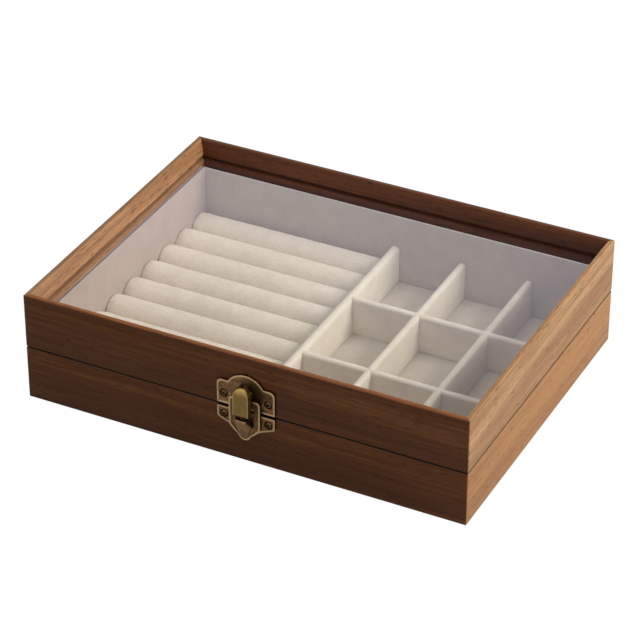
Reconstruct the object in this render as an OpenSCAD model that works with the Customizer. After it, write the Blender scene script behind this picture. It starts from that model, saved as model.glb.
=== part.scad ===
// Ring display box: a hinged wooden box with a glazed lid, padded ring rolls,
// nine lined compartments and a small cast latch. Millimetres, +Z up.
// The origin is the middle of the underside, and the front faces -Y.

/* [Box] */
// Outside width, left to right
box_w = 240; // [200:5:300]
// Outside depth, front to back
box_d = 180; // [150:5:220]
// Height of the base, up to the seam
base_h = 30; // [28:1:36]
// Height of the lid, seam to top
lid_h = 30; // [30:1:36]
// Thickness of the wooden walls
wall_t = 6; // [5.8:0.1:7]
// Rounding of the box's outer edges
edge_r = 0.9; // [0.4:0.1:1.2]
// Thickness of the bottom panel
bottom_t = 3; // [2.5:0.5:3]

/* [Lid frame and glass] */
// Width of the flat along the top of the lid frame
top_flat = 3; // [2:0.5:3]
// How far the inner moulding swells towards the glass
moulding_in = 2.1; // [1.5:0.1:2.6]
// Height from the top of the lid down to the glass
glass_drop = 8.4; // [6:0.2:10]
// Thickness of the glass
glass_t = 2; // [1.5:0.5:3]
// Depth of the groove that holds the glass
groove_deep = 2.6; // [2:0.1:3]

/* [Lining] */
// Thickness of the velvet covered wall lining
liner_t = 1.2; // [0.8:0.1:2]
// Thickness of the velvet covered floor board
floor_t = 3; // [2:0.5:3]
// How far the lining stands up out of the base, into the lid
lining_up = 15.6; // [8:0.4:15.6]
// Room between the standing lining and the inside of the lid
lip_play = 0.85; // [0.85:0.05:1]

/* [Ring rolls] */
// Gap between one roll and the next
roll_gap = 0.2; // [0.1:0.1:1]
// Thickness of the board that the rolls are glued to
bed_t = 1.5; // [1:0.5:2]
// Height of the top of a roll above the underside of the box
roll_top = 22.5; // [18:0.5:24]
// Rounding of the roll ends
roll_end_r = 2.2; // [1:0.2:4]

/* [Compartments] */
// Place of the middle of the main divider, from the centre line
main_x = 0.8; // [-10:0.2:20]
// Thickness of the main divider
main_t = 5; // [4:0.5:6]
// Thickness of the small dividers
small_t = 4; // [3:0.5:5]
// Height of the divider tops above the underside of the box
divider_top = 27.5; // [24:0.5:27.5]

/* [Latch] */
// Place of the latch along the front, from the centre line
latch_x = 4; // [-20:1:20]
// Width across the ears of both plates
plate_w = 31.2; // [28:0.2:34]
// Thickness of the cast plates in the field
plate_t = 0.9; // [0.8:0.1:1.2]
// Height of the raised rim above the field
rim_h = 0.3; // [0.2:0.1:0.4]
// Width of the lever
lever_w = 8.3; // [7.5:0.1:9]

/* [Hinges] */
// Distance of each hinge from the centre line
hinge_x = 68; // [50:1:90]
// Length of a hinge
hinge_l = 25; // [20:1:30]
// Height of one leaf
leaf_h = 11; // [9:0.5:13]
// Radius of the hinge barrel
barrel_r = 1.6; // [1.5:0.1:2]

/* [Hidden] */
$fn = 48;
// Half the thin gap that shows as the dark seam between lid and base
seam_half = 0.15;
// Running clearance between a pin and its bore
pin_play = 0.05;
// Small overshoot that keeps cuts clean
eps = 0.01;

base_top = base_h - seam_half;
lid_bottom = base_h + seam_half;
lid_top = base_h + lid_h;
glass_top = lid_top - glass_drop;
rabbet = wall_t / 2;
floor_top = bottom_t + floor_t;
lining_top = base_h + lining_up;
inner_w = box_w - 2 * (wall_t + liner_t);
inner_d = box_d - 2 * (wall_t + liner_t);

// One roll and one compartment for each name in the list of nodes
roll_count = 9;
cells_x = 3;
cells_y = 3;

main_left = main_x - main_t / 2;
main_right = main_x + main_t / 2;
roll_left = -inner_w / 2;
roll_len = main_left - roll_left;
roll_pitch = inner_d / roll_count;
roll_r = (roll_pitch - roll_gap) / 2;
roll_z = roll_top - roll_r;
bed_top = floor_top + bed_t;

cell_w = (inner_w / 2 - main_right - (cells_x - 1) * small_t) / cells_x;
cell_d = (inner_d - (cells_y - 1) * small_t) / cells_y;
lap_z = (floor_top + divider_top) / 2;

// Latch heights, measured from the underside of the box
ear_top = 45;
ear_bottom = 31.6;
arch_r = 11;
arch_z = 39.5;
ear_r = 2.6;
rim_w = 0.9;
low_ear_top = 29.7;
low_ear_bottom = 24;
keeper_w = 16.8;
keeper_top = 38;
keeper_low = 19.6;
keeper_back = 1.5;
keeper_front = 2.5;
keeper_rim = 0.3;
keeper_r = 2;
window_w = 10;
window_top = 34.6;
window_low = 23.5;
keeper_low_r = 3.4;
tip_r = 3.4;
tip_z = 17.8;
shoulder_x = 8;
shoulder_z = 20.2;
scoop_out = 6.9;
scoop_top = 27.8;
scoop_w = 6.8;
screw_x = 12;
screw_up_z = 37.2;
screw_low_z = 25.4;
lever_pin_z = 43.3;
lever_pin_out = 3.5;
lever_front = 6.9;
lever_low = 30.3;
lever_skin = 1.2;
knuckle_r = 2.05;
lever_back = 3.4;
lever_pin_r = 0.7;
lug_w = 2.4;
lug_r = 1.4;
lug_neck = 1;
cheek_gap = 2.8;
lever_wall = 1;
catch_low = lever_low + 1.6;
catch_h = 2;

// Wood screws with a low domed head and a cross recess
head_r = 1.75;
head_rise = 0.7;
seat_r = 2.05;
seat = 0.55;
shank_r = 0.85;
pilot_r = 0.9;
shank_l = 4.2;
hole_r = 1.1;

// Hinge axis, behind the back face and on the seam
axis_y = box_d / 2 + barrel_r + 0.1;
axis_z = base_h;
leaf_t = 1;
knuckle_gap = 0.3;
hinge_pin_r = 0.7;
hinge_screw_x = hinge_l / 2 - 5;
hinge_screw_z = 7;

walnut = "saddlebrown";
velvet = "antiquewhite";
bronze = "darkkhaki";
lever_bronze = "goldenrod";
glazing = [0.8, 0.88, 0.95, 0.35];

// Quarter round corner: points on an arc from angle a0 to a1
function arc(cx, cy, r, a0, a1, n = 6) =
    [for (i = [0:n]) [cx + r * cos(a0 + (a1 - a0) * i / n), cy + r * sin(a0 + (a1 - a0) * i / n)]];

// Section of a base wall: x is the distance in from the outer face, y is height
function base_section() = concat(
    arc(edge_r, edge_r, edge_r, 270, 180),
    arc(edge_r, base_top - edge_r, edge_r, 180, 90),
    [[wall_t, base_top], [wall_t, bottom_t], [rabbet, bottom_t], [rabbet, 0]]
);

// Inner moulding of the lid frame: a full curve from the top flat to the glass
function moulding_t(u) = top_flat + moulding_in * sin(90 * u);
function moulding(n = 14) =
    [for (i = [0:n]) [moulding_t(i / n), lid_top - edge_r / 2 - (glass_drop - edge_r / 2) * i / n]];

// Section of a lid rail, with its moulding and its glass groove
function lid_section() = concat(
    arc(edge_r, lid_bottom + edge_r, edge_r, 270, 180),
    arc(edge_r, lid_top - edge_r, edge_r, 180, 90),
    [[top_flat - edge_r / 2, lid_top]],
    moulding(),
    [
        [wall_t - groove_deep, glass_top], [wall_t - groove_deep, glass_top - glass_t],
        [wall_t, glass_top - glass_t], [wall_t, lining_top + 0.4],
        [wall_t - lip_play, lining_top + 0.4], [wall_t - lip_play, lid_bottom]
    ]
);

// Rounded rectangle in the plane, made of squares and circles
module round_rect(w, h, r) {
    square([w - 2 * r, h], center = true);
    square([w, h - 2 * r], center = true);
    for (x = [-1, 1], y = [-1, 1])
        translate([x * (w / 2 - r), y * (h / 2 - r)])
            circle(r);
}

// One board of a frame along the front: a section swept between two mitres.
// w is the length of the board's side of the box, d is the depth of the box.
module mitred_board(w, d, section) {
    intersection() {
        translate([-w / 2, -d / 2, 0])
            rotate([90, 0, 90])
                linear_extrude(w)
                    polygon(section);
        translate([0, 0, -1])
            linear_extrude(lid_top + 2)
                polygon([[-w / 2, -d / 2], [w / 2, -d / 2],
                    [w / 2 - wall_t, -d / 2 + wall_t], [-w / 2 + wall_t, -d / 2 + wall_t]]);
        translate([0, 0, -1])
            linear_extrude(lid_top + 2)
                round_rect(w, d, edge_r);
    }
}

// The four sides of a frame: a front board turned to each side
module on_side(side) {
    if (side == "front") children();
    if (side == "back") rotate([0, 0, 180]) children();
    if (side == "left") rotate([0, 0, -90]) children();
    if (side == "right") rotate([0, 0, 90]) children();
}
function side_w(side) = (side == "front" || side == "back") ? box_w : box_d;
function side_d(side) = (side == "front" || side == "back") ? box_d : box_w;

module frame_board(side, section) {
    on_side(side) mitred_board(side_w(side), side_d(side), section);
}

// A lining strip against the inside of one wall, from z0 to z1.
// The side strips run full length and the front and back ones fit between.
module liner_strip(side, z0, z1) {
    long = side_w(side) - 2 * wall_t;
    fit = (side == "front" || side == "back") ? long - 2 * liner_t : long;
    on_side(side)
        translate([-fit / 2, -side_d(side) / 2 + wall_t, z0])
            cube([fit, liner_t, z1 - z0]);
}

// Pilot holes that the screws of the latch and the hinges bite into
module latch_pilots(z) {
    for (s = [-1, 1])
        translate([latch_x + s * screw_x, -box_d / 2 - 1, z])
            rotate([-90, 0, 0])
                cylinder(r = pilot_r, h = shank_l + 1.2);
}
module hinge_pilots(up) {
    for (h = [-1, 1], s = [-1, 1])
        translate([h * hinge_x + s * hinge_screw_x, box_d / 2 + 1, axis_z + up * hinge_screw_z])
            rotate([90, 0, 0])
                cylinder(r = pilot_r, h = shank_l + 1.2);
}

module base_front_wall() {
    color(walnut) difference() {
        frame_board("front", base_section());
        latch_pilots(screw_low_z);
    }
}
module base_back_wall() {
    color(walnut) difference() {
        frame_board("back", base_section());
        hinge_pilots(-1);
    }
}
module base_left_wall() {
    color(walnut) frame_board("left", base_section());
}
module base_right_wall() {
    color(walnut) frame_board("right", base_section());
}

// The bottom panel lies flush in the rabbet of the four walls
module base_bottom() {
    color(walnut)
        translate([-(box_w - 2 * rabbet) / 2, -(box_d - 2 * rabbet) / 2, 0])
            cube([box_w - 2 * rabbet, box_d - 2 * rabbet, bottom_t]);
}

module floor_pad() {
    color(velvet)
        translate([-box_w / 2 + wall_t, -box_d / 2 + wall_t, bottom_t])
            cube([box_w - 2 * wall_t, box_d - 2 * wall_t, floor_t]);
}

// The lining stands up out of the base, so that the lid closes round it
module base_liner(side) {
    color(velvet) liner_strip(side, floor_top, lining_top);
}

// Thin board under the row of rolls
module ring_bed() {
    color(velvet)
        translate([roll_left, -inner_d / 2, floor_top])
            cube([roll_len, inner_d, bed_t]);
}

// A padded roll with soft ends, pressed flat where it is glued to the bed
module ring_roll(i) {
    half = roll_len / 2 - roll_gap;
    color(velvet)
        translate([roll_left + roll_len / 2, -inner_d / 2 + (i - 0.5) * roll_pitch, roll_z])
            intersection() {
                rotate([0, 90, 0])
                    rotate_extrude($fn = 96)
                        polygon(concat(
                            [[0, -half]],
                            arc(roll_r - roll_end_r, -half + roll_end_r, roll_end_r, -90, 0),
                            arc(roll_r - roll_end_r, half - roll_end_r, roll_end_r, 0, 90),
                            [[0, half]]
                        ));
                translate([-half - 1, -roll_r - 1, bed_top - roll_z])
                    cube([2 * half + 2, 2 * roll_r + 2, 2 * roll_r + 2]);
            }
}

// Upright padded divider along Y with a full round top, standing on the floor board
module divider_along_y(x, t) {
    translate([x, inner_d / 2, 0])
        rotate([90, 0, 0])
            linear_extrude(inner_d) {
                translate([-t / 2, floor_top])
                    square([t, divider_top - t / 2 - floor_top]);
                translate([0, divider_top - t / 2])
                    circle(t / 2);
            }
}

module main_divider() {
    color(velvet) divider_along_y(main_x, main_t);
}

function long_x(i) = main_right + i * cell_w + (i - 0.5) * small_t;
function cross_y(i) = -inner_d / 2 + i * cell_d + (i - 0.5) * small_t;

// Long dividers are cut down from the top where the cross dividers pass
module long_divider(i) {
    color(velvet) difference() {
        divider_along_y(long_x(i), small_t);
        for (k = [1:cells_y - 1])
            translate([long_x(i) - small_t, cross_y(k) - small_t / 2, lap_z])
                cube([2 * small_t, small_t, divider_top]);
    }
}

// Cross dividers are cut up from below where they pass the long dividers
module cross_divider(i) {
    len = inner_w / 2 - main_right;
    color(velvet) difference() {
        translate([main_right, cross_y(i), 0])
            rotate([90, 0, 90])
                linear_extrude(len) {
                    translate([-small_t / 2, floor_top])
                        square([small_t, divider_top - small_t / 2 - floor_top]);
                    translate([0, divider_top - small_t / 2])
                        circle(small_t / 2);
                }
        for (k = [1:cells_x - 1])
            translate([long_x(k) - small_t / 2, cross_y(i) - small_t, floor_top - 1])
                cube([small_t, 2 * small_t, lap_z - floor_top + 1]);
    }
}

module lid_front_rail() {
    color(walnut) difference() {
        frame_board("front", lid_section());
        latch_pilots(screw_up_z);
    }
}
module lid_back_rail() {
    color(walnut) difference() {
        frame_board("back", lid_section());
        hinge_pilots(1);
    }
}
module lid_left_rail() {
    color(walnut) frame_board("left", lid_section());
}
module lid_right_rail() {
    color(walnut) frame_board("right", lid_section());
}

// The pane sits in the groove with a little play on every side
module glass_pane() {
    play = 0.2;
    w = box_w - 2 * (wall_t - groove_deep + play);
    d = box_d - 2 * (wall_t - groove_deep + play);
    color(glazing)
        translate([-w / 2, -d / 2, glass_top - glass_t + play / 4])
            cube([w, d, glass_t - play / 2]);
}

// Places a flat shape, drawn as seen from the front, on the front face:
// its thickness grows out of the box from "out" by "t"
module on_front(out, t) {
    translate([latch_x, -box_d / 2 - out, 0])
        rotate([90, 0, 0])
            linear_extrude(t)
                children();
}

// Outline of the upper plate, drawn in by "inset" all round
module upper_outline(inset) {
    half = plate_w / 2 - inset;
    top = ear_top - inset;
    low = ear_bottom + inset;
    translate([-half, low])
        square([2 * half, top - ear_r - low]);
    translate([-half + ear_r, low])
        square([2 * (half - ear_r), top - low]);
    for (s = [-1, 1])
        translate([s * (half - ear_r), top - ear_r])
            circle(ear_r);
    intersection() {
        translate([0, arch_z])
            circle(arch_r - inset);
        translate([-half, low])
            square([2 * half, 2 * arch_r]);
    }
}

// Holes for the two screws of a plate, each with a round seat for the head
module plate_holes(z) {
    for (s = [-1, 1])
        translate([latch_x + s * screw_x, -box_d / 2 + 1, z])
            rotate([90, 0, 0])
                union() {
                    cylinder(r = hole_r, h = plate_t + rim_h + 2);
                    translate([0, 0, 1 + seat])
                        cylinder(r = seat_r, h = 2);
                }
}

// Upper plate on the lid: arched, rimmed, with the lug that carries the lever
module latch_upper_plate() {
    color(bronze) difference() {
        union() {
            on_front(0, plate_t) upper_outline(0);
            on_front(plate_t - eps, rim_h + eps)
                difference() {
                    upper_outline(0);
                    upper_outline(rim_w);
                }
            translate([latch_x - lug_w / 2, -box_d / 2, lever_pin_z])
                rotate([90, 0, 90])
                    linear_extrude(lug_w) {
                        translate([-lever_pin_out, -lug_neck])
                            square([lever_pin_out - plate_t / 2, 2 * lug_neck]);
                        translate([-lever_pin_out, 0])
                            circle(lug_r);
                    }
        }
        plate_holes(screw_up_z);
        translate([latch_x - lug_w, -box_d / 2 - lever_pin_out, lever_pin_z])
            rotate([0, 90, 0])
                cylinder(r = lever_pin_r + pin_play, h = 2 * lug_w);
    }
}

// Outline of the lower plate behind the keeper: two ears that run down into a tail
module lower_outline(inset) {
    half = plate_w / 2 - inset;
    top = low_ear_top - inset;
    low = low_ear_bottom + inset / 2;
    translate([-half, low])
        square([2 * half, top - low]);
    polygon([
        [-half, low + eps], [-half + 0.5, low - 0.9],
        [-shoulder_x + inset / 2, shoulder_z + inset], [-tip_r + inset, tip_z - tip_r / 4],
        [tip_r - inset, tip_z - tip_r / 4], [shoulder_x - inset / 2, shoulder_z + inset],
        [half - 0.5, low - 0.9], [half, low + eps]
    ]);
    translate([0, tip_z])
        circle(tip_r - inset);
}

// Outline of the raised keeper, drawn in by "inset": a frame with a pointed tail
module keeper_outline(inset) {
    half = keeper_w / 2 - inset;
    top = keeper_top - inset;
    low = keeper_low + inset;
    r = keeper_r - inset / 2;
    big = keeper_low_r - inset / 2;
    translate([-half, low + big])
        square([2 * half, top - low - big - r]);
    translate([-half + r, low + big])
        square([2 * (half - r), top - low - big]);
    translate([-half + big, low])
        square([2 * (half - big), big + eps]);
    for (s = [-1, 1]) {
        translate([s * (half - r), top - r])
            circle(r);
        translate([s * (half - big), low + big])
            circle(big);
    }
    polygon([[-half + big / 2, low + 0.2], [half - big / 2, low + 0.2],
        [tip_r - inset, tip_z - tip_r / 4], [-tip_r + inset, tip_z - tip_r / 4]]);
    translate([0, tip_z])
        circle(tip_r - inset);
}

// A round ended bar across the latch, used for the scoop's lip and foot
module cross_bar(w, out, z, r) {
    translate([latch_x - w / 2 + r, -box_d / 2 - out, z])
        rotate([0, 90, 0])
            cylinder(r = r, h = w - 2 * r, $fn = 24);
}

// The scoop below the lever: a bill that swells from the tail up to an open lip
module scoop() {
    hull() {
        cross_bar(scoop_w, scoop_out - 0.6, scoop_top - 0.6, 0.6);
        cross_bar(scoop_w, keeper_front - 0.6, scoop_top - 0.6, 0.6);
        cross_bar(keeper_w - 6, keeper_front - 0.6, keeper_low + 1.8, 0.6);
        cross_bar(2 * tip_r - 1, keeper_front + 0.1, tip_z - 0.8, 0.6);
        cross_bar(2 * tip_r - 1, keeper_front - 0.6, tip_z - 0.8, 0.6);
    }
}

// Lower plate on the base: ears, a keeper that stands up over the upper plate
// with a window for the lever's catch, and the scoop under the lever's tip
module latch_lower_plate() {
    color(bronze) difference() {
        union() {
            on_front(0, plate_t) lower_outline(0);
            on_front(plate_t - eps, rim_h + eps)
                difference() {
                    lower_outline(0);
                    lower_outline(rim_w);
                }
            on_front(keeper_back, keeper_front - keeper_back) keeper_outline(0);
            on_front(keeper_front - eps, keeper_rim + eps)
                difference() {
                    keeper_outline(0);
                    keeper_outline(rim_w);
                }
            on_front(plate_t - eps, keeper_back - plate_t + 2 * eps)
                intersection() {
                    keeper_outline(0);
                    translate([-keeper_w, 0])
                        square([2 * keeper_w, low_ear_top]);
                }
            scoop();
        }
        plate_holes(screw_low_z);
        on_front(plate_t, keeper_front)
            translate([-window_w / 2, window_low])
                square([window_w, window_top - window_low]);
        scoop_pocket();
    }
}

// The hollow of the scoop, open at its top
module scoop_pocket() {
    hull() {
        cross_bar(scoop_w - 1.8, scoop_out - 1.5, scoop_top + 1, 0.5);
        cross_bar(scoop_w - 1.8, keeper_back + 0.6, scoop_top + 1, 0.5);
        cross_bar(scoop_w - 2.6, keeper_front - 0.9, window_low - 1.2, 0.5);
        cross_bar(scoop_w - 2.6, keeper_back + 0.6, window_low - 1.2, 0.5);
    }
}

// Side profile of the lever: x is the distance out from the box, y is height
function lever_profile() = concat(
    [[lever_back, lever_low + 0.3], [lever_front - 0.6, lever_low]],
    arc(lever_front - 0.5, lever_low + 0.5, 0.5, -90, 0, 3),
    arc(lever_front - 4.2, lever_pin_z - 1.6, 4.2, 0, 62, 8),
    arc(lever_pin_out, lever_pin_z, knuckle_r, 62, 180, 8),
    [[lever_pin_out - knuckle_r, keeper_top + 2], [lever_back, keeper_top + 0.8]]
);

// Lever: a hollow bill, round at the top, that hangs from the pin by two cheeks
module latch_lever() {
    color(lever_bronze) difference() {
        intersection() {
            translate([latch_x - lever_w / 2, -box_d / 2, 0])
                rotate([90, 0, 90])
                    mirror([1, 0])
                        linear_extrude(lever_w)
                            polygon(lever_profile());
            on_front(0, lever_front + 1) {
                translate([-lever_w / 2, lever_low - 1])
                    square([lever_w, lever_pin_z - 1.9 - lever_low + 1]);
                translate([0, lever_pin_z - 1.9])
                    circle(lever_w / 2);
            }
        }
        on_front(0, lever_front - lever_skin) {
            translate([-lever_w / 2 + lever_wall, catch_low + catch_h])
                square([lever_w - 2 * lever_wall, keeper_top + 1.4 - catch_low - catch_h]);
            translate([-lever_w / 2 + lever_wall, lever_low - 1])
                square([lever_w - 2 * lever_wall, catch_low - lever_low + 1]);
        }
        translate([latch_x - cheek_gap / 2, -box_d / 2 - lever_pin_out, lever_pin_z])
            rotate([0, 90, 0])
                cylinder(r = lug_r + 0.15, h = cheek_gap);
        on_front(0, lever_pin_out + 0.6)
            translate([-cheek_gap / 2, lever_pin_z - lug_neck - 0.15])
                square([cheek_gap, 2 * knuckle_r + 1]);
        translate([latch_x - lever_w, -box_d / 2 - lever_pin_out, lever_pin_z])
            rotate([0, 90, 0])
                cylinder(r = lever_pin_r + pin_play, h = 2 * lever_w);
    }
}

module latch_pin() {
    len = lever_w - 1.6;
    color(bronze)
        translate([latch_x - len / 2, -box_d / 2 - lever_pin_out, lever_pin_z])
            rotate([0, 90, 0])
                cylinder(r = lever_pin_r, h = len);
}

// Low domed head seen from the front, with its cross recess
module screw_head() {
    rotate([90, 0, 0])
        difference() {
            rotate_extrude()
                polygon(concat([[0, 0], [head_r, 0]], [for (i = [0:6])
                    [head_r * cos(15 * i), head_rise * (0.35 + 0.65 * sin(15 * i))]]));
            for (a = [0, 90])
                rotate([0, 0, a])
                    translate([-head_r * 0.55, -0.25, head_rise * 0.4])
                        cube([head_r * 1.1, 0.5, head_rise]);
        }
}

// A wood screw that points along +Y, with its head's underside at y = 0
module wood_screw() {
    rotate([0, 20, 0]) screw_head();
    translate([0, -eps, 0])
        rotate([-90, 0, 0])
            cylinder(r = shank_r, h = shank_l + eps);
}

module plate_screws(z) {
    color(bronze)
        for (s = [-1, 1])
            translate([latch_x + s * screw_x, -box_d / 2 - seat, z])
                wood_screw();
}

// One leaf of a butt hinge. up is 1 for the lid leaf and -1 for the base leaf.
// The base leaf has the two outer knuckles and the lid leaf the middle one.
module hinge_leaf(side, up) {
    third = hinge_l / 3;
    color(bronze) translate([side * hinge_x, 0, axis_z])
        difference() {
            union() {
                for (k = [-1:1])
                    if ((k == 0) == (up == 1))
                        translate([k * third - third / 2 + knuckle_gap / 2, 0, 0]) {
                            translate([0, axis_y, 0])
                                rotate([0, 90, 0])
                                    cylinder(r = barrel_r, h = third - knuckle_gap);
                            translate([0, box_d / 2, up > 0 ? 0 : -barrel_r - 1])
                                cube([third - knuckle_gap, leaf_t, barrel_r + 1]);
                        }
                translate([-hinge_l / 2, box_d / 2, up > 0 ? barrel_r + 0.4 : -leaf_h])
                    cube([hinge_l, leaf_t, leaf_h - barrel_r - 0.4]);
            }
            translate([-hinge_l, axis_y, 0])
                rotate([0, 90, 0])
                    cylinder(r = hinge_pin_r + pin_play, h = 2 * hinge_l);
            for (s = [-1, 1])
                translate([s * hinge_screw_x, box_d / 2 - 1, up * hinge_screw_z])
                    rotate([-90, 0, 0])
                        cylinder(r = hole_r, h = leaf_t + 2);
        }
}

module hinge_pin(side) {
    color(bronze)
        translate([side * hinge_x - hinge_l / 2, axis_y, axis_z])
            rotate([0, 90, 0])
                cylinder(r = hinge_pin_r, h = hinge_l);
}

module hinge_screws(up) {
    color(bronze)
        for (h = [-1, 1], s = [-1, 1])
            translate([h * hinge_x + s * hinge_screw_x, box_d / 2 + leaf_t, axis_z + up * hinge_screw_z])
                rotate([0, 0, 180])
                    wood_screw();
}

base_front_wall();
base_back_wall();
base_left_wall();
base_right_wall();
base_bottom();
floor_pad();
base_liner("front");  // base_front_liner
base_liner("back");  // base_back_liner
base_liner("left");  // base_left_liner
base_liner("right");  // base_right_liner
ring_bed();
ring_roll(1);  // ring_roll_1
ring_roll(2);  // ring_roll_2
ring_roll(3);  // ring_roll_3
ring_roll(4);  // ring_roll_4
ring_roll(5);  // ring_roll_5
ring_roll(6);  // ring_roll_6
ring_roll(7);  // ring_roll_7
ring_roll(8);  // ring_roll_8
ring_roll(9);  // ring_roll_9
main_divider();
long_divider(1);  // long_divider_1
long_divider(2);  // long_divider_2
cross_divider(1);  // cross_divider_1
cross_divider(2);  // cross_divider_2
lid_front_rail();
lid_back_rail();
lid_left_rail();
lid_right_rail();
glass_pane();
latch_upper_plate();
latch_lower_plate();
latch_lever();
latch_pin();
plate_screws(screw_up_z);  // latch_upper_screws
plate_screws(screw_low_z);  // latch_lower_screws
hinge_leaf(-1, -1);  // left_hinge_base_leaf
hinge_leaf(-1, 1);  // left_hinge_lid_leaf
hinge_pin(-1);  // left_hinge_pin
hinge_leaf(1, -1);  // right_hinge_base_leaf
hinge_leaf(1, 1);  // right_hinge_lid_leaf
hinge_pin(1);  // right_hinge_pin
hinge_screws(-1);  // hinge_base_screws
hinge_screws(1);  // hinge_lid_screws
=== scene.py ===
import math

import bmesh
import bpy
from mathutils import Matrix, Vector, noise


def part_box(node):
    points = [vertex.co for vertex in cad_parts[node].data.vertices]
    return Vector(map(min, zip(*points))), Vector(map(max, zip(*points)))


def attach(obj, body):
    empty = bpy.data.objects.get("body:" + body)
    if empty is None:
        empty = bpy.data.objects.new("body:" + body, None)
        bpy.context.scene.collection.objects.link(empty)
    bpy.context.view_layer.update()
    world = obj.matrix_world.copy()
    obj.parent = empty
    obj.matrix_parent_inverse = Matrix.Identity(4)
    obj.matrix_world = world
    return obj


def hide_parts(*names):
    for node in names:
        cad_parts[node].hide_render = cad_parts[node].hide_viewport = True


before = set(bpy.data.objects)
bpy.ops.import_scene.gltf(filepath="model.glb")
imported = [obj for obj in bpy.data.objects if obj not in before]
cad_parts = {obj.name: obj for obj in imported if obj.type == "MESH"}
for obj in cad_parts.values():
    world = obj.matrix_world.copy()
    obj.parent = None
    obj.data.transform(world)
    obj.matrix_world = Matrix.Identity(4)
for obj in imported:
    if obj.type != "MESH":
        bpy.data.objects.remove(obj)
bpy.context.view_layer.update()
scene = bpy.context.scene
MM = 0.001

# Viewpoint of the photograph, worked out from the box's edges in its 640 x 640 frame
CAMERA_AZIMUTH = 26.596
CAMERA_ELEVATION = 32.837
CAMERA_ROLL = 0.1115
CAMERA_PLACE = (0.53555, -1.07363, 0.80291)
FOCAL_LENGTH_IN_FRAMES = 2832.38 / 640

# Sizes of the box in millimetres, as the solid model has them
HALF_W, HALF_D = 120.0, 90.0
SEAM_LOW, SEAM, SEAM_HIGH, LID_TOP = 29.85, 30.0, 30.15, 60.0
WALL, EDGE_R, RABBET, BOTTOM = 6.0, 0.9, 3.0, 3.0
GLASS_TOP, GLASS_LOW, GROOVE = 51.6, 49.6, 3.4
FLOOR, BED, ROLL_TOP = 6.0, 7.5, 22.5
LINER, LINING_TOP, LIP_PLAY = 1.2, 45.6, 0.85
INNER_W, INNER_D = 112.8, 82.8
MAIN_MIDDLE, MAIN_RIGHT, DIVIDER_TOP = 0.8, 3.3, 27.5
MAIN_THICK, THIN = 5.0, 4.0
LATCH_X, EAR, UPPER_SCREW_Z, LOWER_SCREW_Z = 4.0, 12.0, 37.2, 25.4


def linear(hex_colour):
    """Linear RGBA of an sRGB hex colour."""
    channels = [int(hex_colour[i : i + 2], 16) / 255 for i in (1, 3, 5)]
    return [c / 12.92 if c <= 0.04045 else ((c + 0.055) / 1.055) ** 2.4 for c in channels] + [1.0]


def node(tree, kind, sockets=(), **settings):
    """Adds a node. sockets maps its inputs, by name or number, to a value or to another node's output."""
    made = tree.nodes.new(kind)
    for name, value in settings.items():
        setattr(made, name, value)
    for key, value in dict(sockets).items():
        if isinstance(value, bpy.types.NodeSocket):
            tree.links.new(value, made.inputs[key])
        else:
            made.inputs[key].default_value = value
    return made


def new_material(name):
    made = bpy.data.materials.new(name)
    made.use_nodes = True
    made.node_tree.nodes.clear()
    return made, made.node_tree


def set_ramp(ramp, stops):
    """Gives a ColorRamp its stops: pairs of place and hex colour, or place and grey value."""
    elements = ramp.color_ramp.elements
    while len(elements) < len(stops):
        elements.new(0.5)
    for element, (place, colour) in zip(elements, stops):
        element.position = place
        element.color = linear(colour) if isinstance(colour, str) else (colour, colour, colour, 1)
    return ramp.outputs["Color"]


# Materials

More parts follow.
